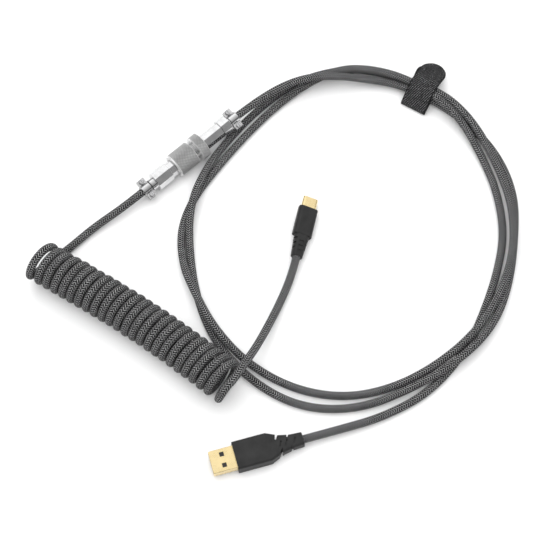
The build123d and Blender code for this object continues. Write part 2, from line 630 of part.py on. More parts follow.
# Strap
half_tape = STRAP_THICKNESS / 2
band_line = FilletPolyline(*BAND_LINE, radius=BAND_RADII)
band_face = make_face(offset(band_line, half_tape, kind=Kind.ARC, side=Side.BOTH))
strap_band = extrude(STRAP_PLANE * band_face, STRAP_WIDTH / 2, both=True)
tab_span = Vector(*TAB_END) - Vector(*TAB_HINGE)
tab_angle = math.degrees(math.atan2(tab_span.Y, tab_span.X))
tab_face = Pos(*TAB_HINGE) * Circle(half_tape)
tab_face += Pos(*TAB_HINGE) * Rot(0, 0, tab_angle) * Pos(tab_span.length / 2, 0) * Rectangle(
    tab_span.length, STRAP_THICKNESS
)
strap_tab = extrude(STRAP_PLANE * tab_face, STRAP_WIDTH / 2, both=True)
tab_round = TAB_END[0] - STRAP_WIDTH / 2
strap_tab &= round_ended_plan(tab_round)
strap_band &= round_ended_plan(tab_round - BAND_SETBACK)

# Every piece in its place
nodes = {
    "plug_backshell": PLUG_FRAME * plug_backshell,
    "plug_clamp_saddle": PLUG_FRAME * plug_saddle,
    "plug_clamp_screws": PLUG_FRAME * plug_screws,
    "plug_shell": PLUG_FRAME * plug_shell,
    "plug_insert": PLUG_FRAME * plug_insert,
    "plug_pins": PLUG_FRAME * plug_pins,
    "plug_wires": PLUG_FRAME * plug_wires,
    "coupling_nut": PLUG_FRAME * coupling_nut,
    "nut_ring": PLUG_FRAME * nut_ring,
    "socket_shell": PLUG_FRAME * socket_shell,
    "socket_grip_ring": PLUG_FRAME * socket_grip_ring,
    "socket_insert": PLUG_FRAME * socket_insert,
    "socket_contacts": PLUG_FRAME * socket_contacts,
    "socket_wires": PLUG_FRAME * socket_wires,
    "socket_backshell": PLUG_FRAME * socket_backshell,
    "socket_clamp_saddle": PLUG_FRAME * socket_saddle,
    "socket_clamp_screws": PLUG_FRAME * socket_screws,
    "usb_a_housing": USB_A_FRAME * usb_a_housing,
    "usb_a_boot": USB_A_FRAME * usb_a_boot,
    "usb_a_shell": USB_A_FRAME * usb_a_shell,
    "usb_a_tongue": USB_A_FRAME * usb_a_tongue,
    "usb_a_contacts": USB_A_FRAME * usb_a_contacts,
    "usb_a_board": USB_A_FRAME * usb_a_board,
    "usb_a_wires": USB_A_FRAME * usb_a_wires,
    "usb_c_housing": USB_C_FRAME * usb_c_housing,
    "usb_c_boot": USB_C_FRAME * usb_c_boot,
    "usb_c_shell": USB_C_FRAME * usb_c_shell,
    "usb_c_insert": USB_C_FRAME * usb_c_insert,
    "usb_c_contacts": USB_C_FRAME * usb_c_contacts,
    "usb_c_board": USB_C_FRAME * usb_c_board,
    "usb_c_wires": USB_C_FRAME * usb_c_wires,
    "strap_band": strap_band,
    "strap_tab": strap_tab,
    "straight_cable": tube("straight_cable", STRAIGHT_ROUTE, CORD_D),
    "coil_lead": tube("coil_lead", LEAD_ROUTE, CORD_D),
    "coil": tube("coil", COIL_ROUTE, COIL_D),
    "coil_tail": tube("coil_tail", TAIL_ROUTE, CORD_D),
}

os.makedirs("parts", exist_ok=True)
for name, solid in nodes.items():
    export_step(solid, f"parts/{name}.step")
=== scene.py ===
import json
import math

import bpy
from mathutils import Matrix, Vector


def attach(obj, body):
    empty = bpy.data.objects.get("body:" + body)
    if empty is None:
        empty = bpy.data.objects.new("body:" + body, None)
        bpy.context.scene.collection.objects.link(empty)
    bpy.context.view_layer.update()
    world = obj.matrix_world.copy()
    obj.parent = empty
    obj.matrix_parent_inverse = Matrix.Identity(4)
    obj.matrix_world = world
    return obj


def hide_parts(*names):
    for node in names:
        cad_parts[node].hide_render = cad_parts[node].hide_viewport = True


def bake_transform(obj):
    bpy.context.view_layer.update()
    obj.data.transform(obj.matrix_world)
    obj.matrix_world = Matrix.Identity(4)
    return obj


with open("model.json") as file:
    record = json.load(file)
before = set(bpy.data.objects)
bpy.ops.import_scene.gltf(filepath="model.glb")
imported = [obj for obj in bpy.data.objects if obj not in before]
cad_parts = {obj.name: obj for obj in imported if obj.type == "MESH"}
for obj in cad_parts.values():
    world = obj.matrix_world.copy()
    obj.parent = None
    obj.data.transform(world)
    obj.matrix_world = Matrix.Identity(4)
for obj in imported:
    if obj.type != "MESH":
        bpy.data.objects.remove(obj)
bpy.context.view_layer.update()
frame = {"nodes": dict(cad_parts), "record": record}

MM = 0.001
CORD_D = 4.2 * MM
COIL_WINDING_R = 9.4 * MM

# ------------------------------------------------------------------ camera
scene = bpy.context.scene
CAMERA_AT = Vector((-11, -347, 725)) * MM
CAMERA_AIM = Vector((-11, -9, 0)) * MM
LENS = 98.4
SENSOR_WIDTH = 36
CLIP_START = 0.01
camera_data = bpy.data.cameras.new("camera")
camera_data.lens = LENS
camera_data.sensor_width = SENSOR_WIDTH
camera_data.clip_start = CLIP_START
camera = bpy.data.objects.new("camera", camera_data)
camera.location = CAMERA_AT
camera.rotation_euler = (CAMERA_AIM - CAMERA_AT).to_track_quat("-Z", "Y").to_euler()
scene.collection.objects.link(camera)
scene.camera = camera
scene.view_settings.view_transform = "Standard"

# ------------------------------------------------------------------ cords
STRAIGHT_ROUTE = (
    (-38.62, 77.49, 9.01), (-21.92, 92.53, 10.19), (0, 106.5, 10.3), (20, 110, 9.6), (41, 110.5, 4.6),
    (60, 107.5, 3.5), (79, 96.5, 3.4), (97, 82.5, 2.1), (111.5, 63.5, 2.1), (119.5, 38, 2.1),
    (117.5, 10, 2.1), (112.5, -17, 2.1), (102.5, -41, 5.2), (84.5, -60, 7.4), (60.5, -74.5, 4.8),
    (32, -85.5, 2.1), (3, -85, 2.1), (-22, -71.5, 2.1), (-42.5, -48.5, 2.1), (-52.5, -23, 2.1),
    (-57, 5, 2.1), (-56.8, 29.5, 7.6), (-49.2, 51.5, 6), (-37.5, 72, 2.1), (-20, 93, 2.1), (2, 111.5, 2.1),
    (30, 119.5, 2.1), (51, 115.8, 2.1), (69, 108.5, 3.3), (86, 97.5, 6.8), (100, 79, 7.3),
    (110.8, 55, 4.4), (117, 29, 6.6), (116, 3, 7.2), (108.5, -20, 5.8), (96, -41.5, 6.6), (76.5, -60, 6.2),
    (52.5, -73, 2.1), (26, -79.5, 2.1), (-1, -75, 2.1), (-25.3, -61, 2.8), (-42.9, -42.2, 6.6),
    (-53.6, -21.3, 7.2), (-60, -5, 4.2), (-62, 17, 2.1), (-55, 37, 2.1), (-40.5, 58.5, 2.1),
    (-24.5, 79, 2.1), (-8, 96.8, 2.1), (9, 109, 4.4), (27, 116.5, 7), (47, 115, 7.2), (65, 108, 7.3),
    (80, 96, 7.9), (92.3, 83, 6.4), (103, 62, 2.1), (110, 40, 2.1), (112.2, 15, 2.1), (107.5, -7, 2.1),
    (100.5, -27, 2.1), (90, -50.5, 2.1), (69.5, -75.5, 2.1), (44.5, -89.5, 2.1), (20.32, -97.3, 4),
    (-2.77, -103.83, 4),
)
LEAD_ROUTE = (
    (-76.39, 43.48, 6.34), (-91.61, 29.78, 5.27), (-108, 18, 3.2), (-119, 7.8, 2.1), (-130.5, -2.8, 2.1),
)
COIL_ROUTE = (
    (-137, -4.6, 11.5), (-112, -19.8, 11.5), (-86.5, -35.8, 11.5), (-61, -53.8, 11.5),
    (-32.8, -76.2, 11.5),
)
TAIL_ROUTE = (
    (-32.4, -77.3, 20.7), (-26.2, -66.8, 18.8), (-20.6, -54.8, 10.8), (-14.2, -40, 5), (-7.5, -24.5, 2.8),
    (-1.82, -10.15, 4.3), (1.29, 3.5, 4.3),
)


SPLINE_ORDER = 3
SPLINE_RESOLUTION = 12
CORD_STEP = 0.9 * MM
CORD_SIDES = 24


def to_metres(points):
    return [Vector(p) * MM for p in points]


def spline_line(name, points):
    """Points read from a NURBS spline that has these as its control points."""
    curve = bpy.data.curves.new(name, "CURVE")
    curve.dimensions = "3D"
    spline = curve.splines.new("NURBS")
    spline.points.add(len(points) - 1)
    for spot, point in zip(spline.points, points):
        spot.co = (*point, 1)
    spline.order_u = SPLINE_ORDER
    spline.use_endpoint_u = True
    spline.resolution_u = SPLINE_RESOLUTION
    holder = bpy.data.objects.new(name, curve)
    scene.collection.objects.link(holder)
    bpy.context.view_layer.update()
    mesh = bpy.data.meshes.new_from_object(holder)
    line = [v.co.copy() for v in mesh.vertices]
    bpy.data.objects.remove(holder)
    bpy.data.curves.remove(curve)
    bpy.data.meshes.remove(mesh)
    return line


def evenly(line, step):
    """The same line with its points a step apart."""
    along = [0.0]
    for a, b in zip(line, line[1:]):
        along.append(along[-1] + (b - a).length)
    count = round(along[-1] / step)
    spaced = []
    i = 0
    for k in range(count + 1):
        at = along[-1] * k / count
        while i < len(line) - 2 and along[i + 1] < at:
            i += 1
        share = (at - along[i]) / max(along[i + 1] - along[i], 1e-12)
        spaced.append(line[i].lerp(line[i + 1], share))
    return spaced, along[-1]


def tube_mesh(name, line, radius, sides):
    """Round tube along a line, with a UV map that runs once round and in metres along it."""
    verts = []
    tangent = (line[1] - line[0]).normalized()
    normal = tangent.orthogonal().normalized()
    for i, point in enumerate(line):
        ahead = line[min(i + 1, len(line) - 1)] - line[max(i - 1, 0)]
        turned_tangent = ahead.normalized()
        normal = tangent.rotation_difference(turned_tangent) @ normal
        normal = (normal - turned_tangent * normal.dot(turned_tangent)).normalized()
        tangent = turned_tangent
        binormal = tangent.cross(normal)
        for k in range(sides):
            angle = 2 * math.pi * k / sides
            verts.append(point + (normal * math.cos(angle) + binormal * math.sin(angle)) * radius)
    faces = []
    uvs = []
    step = (line[1] - line[0]).length
    for i in range(len(line) - 1):
        for k in range(sides):
            j = (k + 1) % sides
            faces.append((i * sides + k, i * sides + j, (i + 1) * sides + j, (i + 1) * sides + k))
            low, high = i * step, (i + 1) * step
            left, right = k / sides, (k + 1) / sides
            uvs += [(left, low), (right, low), (right, high), (left, high)]
    last = (len(line) - 1) * sides
    faces.append(tuple(range(sides - 1, -1, -1)))
    faces.append(tuple(range(last, last + sides)))
    uvs += [(0.5, 0)] * sides + [(0.5, (len(line) - 1) * step)] * sides
    mesh = bpy.data.meshes.new(name)
    mesh.from_pydata([tuple(v) for v in verts], [], faces)
    layer = mesh.uv_layers.new(name="braid")
    for loop, uv in zip(layer.data, uvs):
        loop.uv = uv
    for polygon in mesh.polygons:
        polygon.use_smooth = len(polygon.vertices) == 4
    piece = bpy.data.objects.new(name, mesh)
    scene.collection.objects.link(piece)
    return piece


straight_line, _ = evenly(spline_line("straight_line", to_metres(STRAIGHT_ROUTE)), CORD_STEP)
straight_cord = tube_mesh("straight_cord", straight_line, CORD_D / 2, CORD_SIDES)

# The coil: left-handed turns round the line of its own route. Each turn wobbles a little, the first few ride
# over the lead, and the last half turn runs out along the axis into the tail.
TURNS = 24
POINTS_PER_TURN = 16
AXIS_STEP = 0.5 * MM
COIL_START_ANGLE = math.radians(70)
coil_axis, coil_length = evenly(spline_line("coil_axis", to_metres(COIL_ROUTE)), AXIS_STEP)


def axis_at(distance):
    i = min(max(int(distance / coil_length * (len(coil_axis) - 1)), 0), len(coil_axis) - 2)
    share = distance / coil_length * (len(coil_axis) - 1) - i
    along = (coil_axis[i + 1] - coil_axis[i]).normalized()
    return coil_axis[i].lerp(coil_axis[i + 1], share), along


FIRST_STATION = 2.3 * MM
LAST_STATION = coil_length - 3.0 * MM
EARLY_TRAVEL = 0.008
RUN_OUT = 3.7 * MM
RUN_OUT_START = TURNS + 0.06
RUN_OUT_TURNS = 0.44
SLOW_WOBBLE = (0.12 * MM, 1.7)
QUICK_WOBBLE = (0.1 * MM, 4.3)
WOBBLE_IN_RADIUS = 0.6
RAISED_TURNS = (0.7, 3.3)
helix = []
last_angle = math.pi + 2 * math.pi * TURNS
count = round((last_angle - COIL_START_ANGLE) / (2 * math.pi) * POINTS_PER_TURN)
for k in range(count):
    angle = COIL_START_ANGLE + (last_angle - COIL_START_ANGLE) * k / count
    turn = angle / (2 * math.pi)
    share = k / count
    station = FIRST_STATION + (LAST_STATION - FIRST_STATION) * (share + EARLY_TRAVEL * (1 - math.exp(-turn)))
    leaving = min(max((turn - RUN_OUT_START) / RUN_OUT_TURNS, 0), 1)
    station = min(station, LAST_STATION) + RUN_OUT * leaving * (2 - leaving)
    centre, along = axis_at(station)
    back = Vector((0, 0, 1)).cross(along)
    wobble = sum(size * math.sin(rate * turn) for size, rate in (SLOW_WOBBLE, QUICK_WOBBLE))
    radius = (COIL_WINDING_R + wobble * WOBBLE_IN_RADIUS) / math.cos(math.pi / POINTS_PER_TURN)
    lift = -math.cos(angle) * radius
    floor_gap = CORD_D if RAISED_TURNS[0] < turn < RAISED_TURNS[1] else 0
    height = max(centre.z + lift, CORD_D / 2 + floor_gap * max(0, math.cos(angle)) ** 0.5)
    spot = centre - back * math.sin(angle) * radius
    spot.z = height
    helix.append(spot + along * wobble)
coil_points = to_metres(LEAD_ROUTE) + helix + to_metres(TAIL_ROUTE)
coil_line, coil_cord_length = evenly(spline_line("coil_line", coil_points), CORD_STEP)
coil_cord = tube_mesh("coil_cord", coil_line, CORD_D / 2, CORD_SIDES)

# ------------------------------------------------------------------ materials
def start_material(name):
    material = bpy.data.materials.new(name)
    material.use_nodes = True
    tree = material.node_tree
    shader = tree.nodes["Principled BSDF"]
    return material, tree, shader


def math_node(tree, operation, *inputs):
    node = tree.nodes.new("ShaderNodeMath")
    node.operation = operation
    for socket, value in zip(node.inputs, inputs):
        if isinstance(value, (int, float)):
            socket.default_value = value
        else:
            tree.links.new(value, socket)
    return node.outputs[0]


def noise(tree, coordinates, scale, detail=3.0, roughness=0.55):
    node = tree.nodes.new("ShaderNodeTexNoise")
    node.inputs["Scale"].default_value = scale
    node.inputs["Detail"].default_value = detail
    node.inputs["Roughness"].default_value = roughness
    tree.links.new(coordinates, node.inputs["Vector"])
    return node.outputs["Fac"]


def greys(*stops):
    """Ramp stops for plain grey values."""
    return tuple((position, (value, value, value)) for position, value in stops)


def ramp(tree, fac, stops):
    node = tree.nodes.new("ShaderNodeValToRGB")
    elements = node.color_ramp.elements
    elements[0].position, elements[0].color = stops[0][0], (*stops[0][1], 1)
    elements[1].position, elements[1].color = stops[-1][0], (*stops[-1][1], 1)
    for position, colour in stops[1:-1]:
        element = elements.new(position)
        element.color = (*colour, 1)
    tree.links.new(fac, node.inputs["Fac"])
    return node.outputs["Color"]


def bump(tree, shader, height, distance, strength=1.0, under=None):
    node = tree.nodes.new("ShaderNodeBump")
    node.inputs["Strength"].default_value = strength
    node.inputs["Distance"].default_value = distance
    tree.links.new(height, node.inputs["Height"])
    if under is not None:
        tree.links.new(under, node.inputs["Normal"])
    tree.links.new(node.outputs["Normal"], shader.inputs["Normal"])
    return node.outputs["Normal"]


def object_coordinates(tree):
    return tree.nodes.new("ShaderNodeTexCoord").outputs["Object"]


def mix(tree, fac, a, b):
    node = tree.nodes.new("ShaderNodeMix")
    node.data_type = "RGBA"
    tree.links.new(fac, node.inputs["Factor"])
    for socket, value in ((node.inputs[6], a), (node.inputs[7], b)):
        if isinstance(value, tuple):
            socket.default_value = (*value, 1)
        else:
            tree.links.new(value, socket)
    return node.outputs[2]


EDGE_SAMPLES = 6
HAIRLINE_SCALE = (400, 5200, 5200)


def plated(name, colour, roughness, smudge=0.08, grain=0.0, edge_radius=0.0):
    """Plated metal with faint smudges, hairline scratches and, if asked, a satin grain or rounded edges."""
    material, tree, shader = start_material(name)
    place = object_coordinates(tree)
    cloud = noise(tree, place, 220, 4)
    darker = tuple(c * 0.82 for c in colour)
    tree.links.new(ramp(tree, cloud, ((0.25, darker), (0.7, colour))), shader.inputs["Base Color"])
    shader.inputs["Metallic"].default_value = 1.0
    fine = noise(tree, place, 2600, 2)
    rough = math_node(tree, "MULTIPLY_ADD", cloud, smudge, roughness)
    rough = math_node(tree, "MULTIPLY_ADD", fine, smudge * 0.5, rough)
    tree.links.new(rough, shader.inputs["Roughness"])
    stretch = tree.nodes.new("ShaderNodeMapping")
    stretch.inputs["Scale"].default_value = HAIRLINE_SCALE
    tree.links.new(place, stretch.inputs["Vector"])
    hairlines = noise(tree, stretch.outputs["Vector"], 1, 2)
    edges = None
    if edge_radius:
        rounding = tree.nodes.new("ShaderNodeBevel")
        rounding.samples = EDGE_SAMPLES
        rounding.inputs["Radius"].default_value = edge_radius
        edges = rounding.outputs["Normal"]
    satin_grain = math_node(tree, "MULTIPLY", fine, grain)
    height = math_node(tree, "MULTIPLY_ADD", hairlines, 0.25 + grain, satin_grain)
    bump(tree, shader, height, 0.00001, 0.35, edges)
    return material


# Painted shade: the colour the bottom of a knurl cut is darkened to.
CUT_PAINTED_SHADE = (0.3, 0.3, 0.3)
KNURL_METALLIC = 0.68


def knurl_finish(name):
    """Satin nickel whose knurl is bright on its crests, with painted shade darkening the bottom of its cuts.
    """
    material = plated(name, (0.86, 0.86, 0.86), 0.22, 0.12, 0.4)
    tree = material.node_tree
    shader = tree.nodes["Principled BSDF"]
    crest_colour = shader.inputs["Base Color"].links[0].from_socket
    cut = tree.nodes.new("ShaderNodeAttribute")
    cut.attribute_name = "cut"
    shader.inputs["Metallic"].default_value = KNURL_METALLIC
    # Painted shade: the deeper the cut, the closer the colour goes to the cut shade colour.
    shaded = mix(tree, cut.outputs["Fac"], crest_colour, CUT_PAINTED_SHADE)
    tree.links.new(shaded, shader.inputs["Base Color"])
    return material


def moulding(name, colour, roughness, grain_scale=2400, lift=1.6):
    """Moulded plastic with a fine spark-eroded grain and slight sheen changes."""
    material, tree, shader = start_material(name)
    place = object_coordinates(tree)
    cloud = noise(tree, place, 140, 4)
    lighter = tuple(min(1, c * lift + 0.004) for c in colour)
    tree.links.new(ramp(tree, cloud, ((0.3, colour), (0.75, lighter))), shader.inputs["Base Color"])
    fine = noise(tree, place, grain_scale, 2)
    tree.links.new(
        math_node(tree, "MULTIPLY_ADD", fine, 0.22, math_node(tree, "MULTIPLY_ADD", cloud, 0.1, roughness)),
        shader.inputs["Roughness"],
    )
    shader.inputs["Specular IOR Level"].default_value = 0.25
    bump(tree, shader, fine, 0.00006, 0.5)
    return material


BRAID_RIBBONS = 10
BRAID_LAY = 13.0 * MM
LIGHT_YARN = 0.34
# Painted shade colour for the low parts of the weave, between yarns and where one dips under another.
YARN_CREASE_SHADE = (0.003, 0.003, 0.0033)
KEEP_POSITIVE = 4000.0


def braided(name):
    """Ribbons of one light and one dark yarn that cross two over, two under, in a herringbone, with painted
    shade where the weave dips.
    """
    material, tree, shader = start_material(name)
    uv = tree.nodes.new("ShaderNodeUVMap")
    uv.uv_map = "braid"
    split = tree.nodes.new("ShaderNodeSeparateXYZ")
    tree.links.new(uv.outputs["UV"], split.inputs["Vector"])
    u = math_node(tree, "MULTIPLY", split.outputs["X"], BRAID_RIBBONS)
    v = math_node(tree, "MULTIPLY", split.outputs["Y"], BRAID_RIBBONS / BRAID_LAY)
    a = math_node(tree, "ADD", u, v)
    b = math_node(tree, "ADD", math_node(tree, "SUBTRACT", u, v), KEEP_POSITIVE)
    order = math_node(
        tree, "MODULO",
        math_node(tree, "ADD", math_node(tree, "FLOOR", a), math_node(tree, "FLOOR", b)), 4.0,
    )
    a_on_top = math_node(tree, "LESS_THAN", order, 1.5)
    float_start = math_node(tree, "MODULO", order, 2.0)
    in_a = math_node(tree, "FRACT", a)
    in_b = math_node(tree, "FRACT", b)

    def pick(for_b, for_a):
        """Value of whichever ribbon is on top."""
        node = tree.nodes.new("ShaderNodeMix")
        tree.links.new(a_on_top, node.inputs["Factor"])
        tree.links.new(for_b, node.inputs[2])
        tree.links.new(for_a, node.inputs[3])
        return node.outputs[0]

    across = pick(in_b, in_a)
    along = pick(in_a, in_b)
    wave = math_node(tree, "SINE", math_node(tree, "MULTIPLY", across, 2 * math.pi))
    yarn = math_node(tree, "ABSOLUTE", wave)
    floated = math_node(tree, "MULTIPLY", math_node(tree, "ADD", along, float_start), math.pi / 2)
    arch = math_node(tree, "ABSOLUTE", math_node(tree, "SINE", floated))
    height = math_node(
        tree, "MULTIPLY", math_node(tree, "POWER", yarn, 0.6), math_node(tree, "POWER", arch, 0.5)
    )
    place = object_coordinates(tree)
    fibre = noise(tree, place, 5200, 2)
    patch = noise(tree, place, 420, 3)
    light = ramp(tree, fibre, ((0.3, (0.34, 0.34, 0.343)), (0.72, (0.8, 0.8, 0.81))))
    dark = ramp(tree, fibre, ((0.3, (0.003, 0.003, 0.0033)), (0.75, (0.014, 0.014, 0.015))))
    yarns = mix(tree, math_node(tree, "LESS_THAN", across, LIGHT_YARN), dark, light)
    # Painted shade: the lower the weave, the closer the colour goes to the crease shade colour.
    shaded = mix(tree, math_node(tree, "POWER", height, 1.1), YARN_CREASE_SHADE, yarns)
    varied = tree.nodes.new("ShaderNodeHueSaturation")
    tree.links.new(shaded, varied.inputs["Color"])
    tree.links.new(math_node(tree, "MULTIPLY_ADD", patch, 1.1, 0.4), varied.inputs["Value"])
    tree.links.new(varied.outputs["Color"], shader.inputs["Base Color"])
    tree.links.new(math_node(tree, "MULTIPLY_ADD", fibre, 0.2, 0.65), shader.inputs["Roughness"])
    shader.inputs["Specular IOR Level"].default_value = 0.15
    bump(tree, shader, math_node(tree, "MULTIPLY_ADD", fibre, 0.18, height), 0.0003)
    return material


braid = braided("braid")
for piece in (straight_cord, coil_cord):
    piece.data.materials.append(braid)

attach(straight_cord, "straight_half")
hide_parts("straight_cable")
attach(coil_cord, "coil_half")
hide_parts("coil_lead", "coil", "coil_tail")

nodes = frame["nodes"]

# ------------------------------------------------------------------ round connector: knurled pieces
CONNECTOR_START = Vector((-82.7, 37.8, 5.9)) * MM
heading, tilt = math.radians(42), math.radians(3)
AXIS = Vector((math.cos(tilt) * math.cos(heading), math.cos(tilt) * math.sin(heading), math.sin(tilt)))
SIDE = Vector((-math.sin(heading), math.cos(heading), 0))
UP = AXIS.cross(SIDE)


KNURL_STEP = 0.13
KNURL_DEPTH = 0.4
KNURL_FADE = 0.25
KNURL_ROUNDING = 0.8


def knurled(name, profile, knurl_start, knurl_end, ridges, sides):
    """Ring turned about the connector's axis from (radius, station) corners in millimetres, with a
    diamond knurl pressed into its outside between two stations."""
    rows = []
    for (r0, s0), (r1, s1) in zip(profile, profile[1:] + profile[:1]):
        outside = (s0, s1) == (knurl_start, knurl_end)
        steps = round((s1 - s0) / KNURL_STEP) if outside else 1
        for k in range(steps):
            share = k / steps
            rows.append((r0 + (r1 - r0) * share, s0 + (s1 - s0) * share, outside))
    pitch = 2 * math.pi * profile[0][0] / ridges
    verts = []
    cuts = []
    for radius, station, outside in rows:
        for k in range(sides):
            angle = 2 * math.pi * k / sides
            cut = 0
            if outside:
                edge = min(station - knurl_start, knurl_end - station)
                around = ridges * angle / (2 * math.pi)
                along = (station - knurl_start) / pitch
                one = abs((around + along) % 1 - 0.5) * 2
                two = abs((around - along) % 1 - 0.5) * 2
                cut = KNURL_DEPTH * (1 - min(one, two) ** KNURL_ROUNDING) * min(1, edge / KNURL_FADE)
            cuts.append(cut / KNURL_DEPTH)
            reach = (radius - cut) * MM
            at = CONNECTOR_START + AXIS * station * MM
            verts.append(at + (SIDE * math.cos(angle) + UP * math.sin(angle)) * reach)
    faces = []
    for i in range(len(rows)):
        j = (i + 1) % len(rows)
        for k in range(sides):
            m = (k + 1) % sides
            faces.append((i * sides + k, i * sides + m, j * sides + m, j * sides + k))
    mesh = bpy.data.meshes.new(name)
    mesh.from_pydata([tuple(v) for v in verts], [], faces)
    cut_share = mesh.attributes.new("cut", "FLOAT", "POINT")
    for item, value in zip(cut_share.data, cuts):
        item.value = value
    piece = bpy.data.objects.new(name, mesh)
    scene.collection.objects.link(piece)
    return piece


nut = knurled(
    "knurled_nut",
    [(7.0, 23.1), (7.0, 35.1), (6.75, 35.4), (6.05, 35.4), (6.05, 30.25), (6.25, 30.25), (6.25, 28.85),
     (4.95, 28.85), (4.95, 22.2), (6.45, 22.2), (6.55, 22.35), (6.55, 22.95), (6.75, 23.1)],
    23.1, 35.1, 36, 288,
)
grip = knurled(
    "knurled_grip_ring",
    [(7.4, 37.95), (7.4, 42.65), (7.15, 42.9), (5.6, 42.9), (5.6, 37.7), (7.15, 37.7)],
    37.95, 42.65, 38, 304,
)
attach(nut, "nut")
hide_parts("coupling_nut")
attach(grip, "straight_half")
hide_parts("socket_grip_ring")

# ------------------------------------------------------------------ hook-and-loop strap
STRAP_CENTRE = Vector((72.0, 103.3, 0)) * MM
strap_heading = math.radians(59.5)
OUT = Vector((math.cos(strap_heading), math.sin(strap_heading), 0))
ALONG = Vector((math.sin(strap_heading), -math.cos(strap_heading), 0))
TAPE_HALF = 0.5
TAPE_HALF_WIDTH = 7.5
TAPE_STEP = 0.45
TAPE_COLUMNS = 28
EDGE_SHARE = 0.07
EDGE_THINNING = 0.45
FOLD_OUT = -11.3


def tape(name, section, skew):
    """Tape of even thickness and rounded end along a (out, up) section line in millimetres."""
    line = [Vector((q, z, 0)) for q, z in section]
    fine, length = evenly(spline_line(name + "_line", line), TAPE_STEP)
    verts = []
    uvs = []
    reach = fine[-1].x
    for i, point in enumerate(fine):
        ahead = (fine[min(i + 1, len(fine) - 1)] - fine[max(i - 1, 0)]).normalized()
        normal = Vector((-ahead.y, ahead.x, 0))
        width = TAPE_HALF_WIDTH
        into = point.x - (reach - TAPE_HALF_WIDTH)
        if into > 0:
            width = TAPE_HALF_WIDTH * math.sqrt(max(1 - (into / (TAPE_HALF_WIDTH * 1.001)) ** 2, 0.0))
        for side in (1, -1):
            for k in range(TAPE_COLUMNS + 1):
                across = 2 * k / TAPE_COLUMNS - 1
                edge = max(0, abs(across) - (1 - EDGE_SHARE)) / EDGE_SHARE
                thick = TAPE_HALF * (1 - EDGE_THINNING * edge ** 2)
                spot = point + normal * thick * side
                at = STRAP_CENTRE + OUT * spot.x * MM + Vector((0, 0, spot.y)) * MM
                verts.append(at + ALONG * (across * width + skew * (point.x - FOLD_OUT)) * MM)
                uvs.append((across * width * MM, i * TAPE_STEP * MM))
    faces = []
    row = 2 * (TAPE_COLUMNS + 1)
    for i in range(len(fine) - 1):
        for k in range(TAPE_COLUMNS):
            top, bottom = i * row + k, i * row + TAPE_COLUMNS + 1 + k
            faces.append((top, top + 1, top + 1 + row, top + row))
            faces.append((bottom, bottom + row, bottom + 1 + row, bottom + 1))
        for k in (0, TAPE_COLUMNS):
            top, bottom = i * row + k, i * row + TAPE_COLUMNS + 1 + k
            quad = (top, top + row, bottom + row, bottom)
            faces.append(quad if k == 0 else quad[::-1])
    for i in (0, len(fine) - 1):
        for k in range(TAPE_COLUMNS):
            top, bottom = i * row + k, i * row + TAPE_COLUMNS + 1 + k
            quad = (top, bottom, bottom + 1, top + 1)
            faces.append(quad if i == 0 else quad[::-1])
    mesh = bpy.data.meshes.new(name)
    mesh.from_pydata([tuple(v) for v in verts], [], faces)
    layer = mesh.uv_layers.new(name="weave")
    for polygon in mesh.polygons:
        for index in polygon.loop_indices:
            layer.data[index].uv = uvs[mesh.loops[index].vertex_index]
        polygon.use_smooth = True
    piece = bpy.data.objects.new(name, mesh)
    scene.collection.objects.link(piece)
    return piece, length


LOWER_SECTION = (
    (15.2, 4.6), (13.1, 5.4), (10.6, 6.2), (8.8, 3.6), (6.4, 0.7), (3.5, 0.52), (-1.5, 0.52), (-6.5, 0.52),
    (-10.4, 0.52), (-11.3, 0.6), (-11.4, 1.3), (-11.0, 2.1),
)
UPPER_SECTION = (
    (-11.05, 2.06), (-9.6, 3.6), (-7.0, 6.5), (-4.6, 9.1), (-3.0, 10.4), (-1.2, 10.5), (1.2, 10.5),
    (3.4, 10.45), (6.5, 9.3), (10.0, 8.1), (14.0, 6.75), (18.3, 5.3),
)
lower_tape, lower_length = tape("strap_lower", LOWER_SECTION[::-1], -0.1)
upper_tape, upper_length = tape("strap_upper", UPPER_SECTION, 0.0)


RIB_PITCH = 1.15 * MM
RIB_SLANT = -0.42
RIB_DRIFT = 0.7 * MM
RIBBED_TO = (17 * MM, 23 * MM)
BOUND_EDGE = 6.8 * MM
BINDING_COLOUR = (0.008, 0.008, 0.0085)


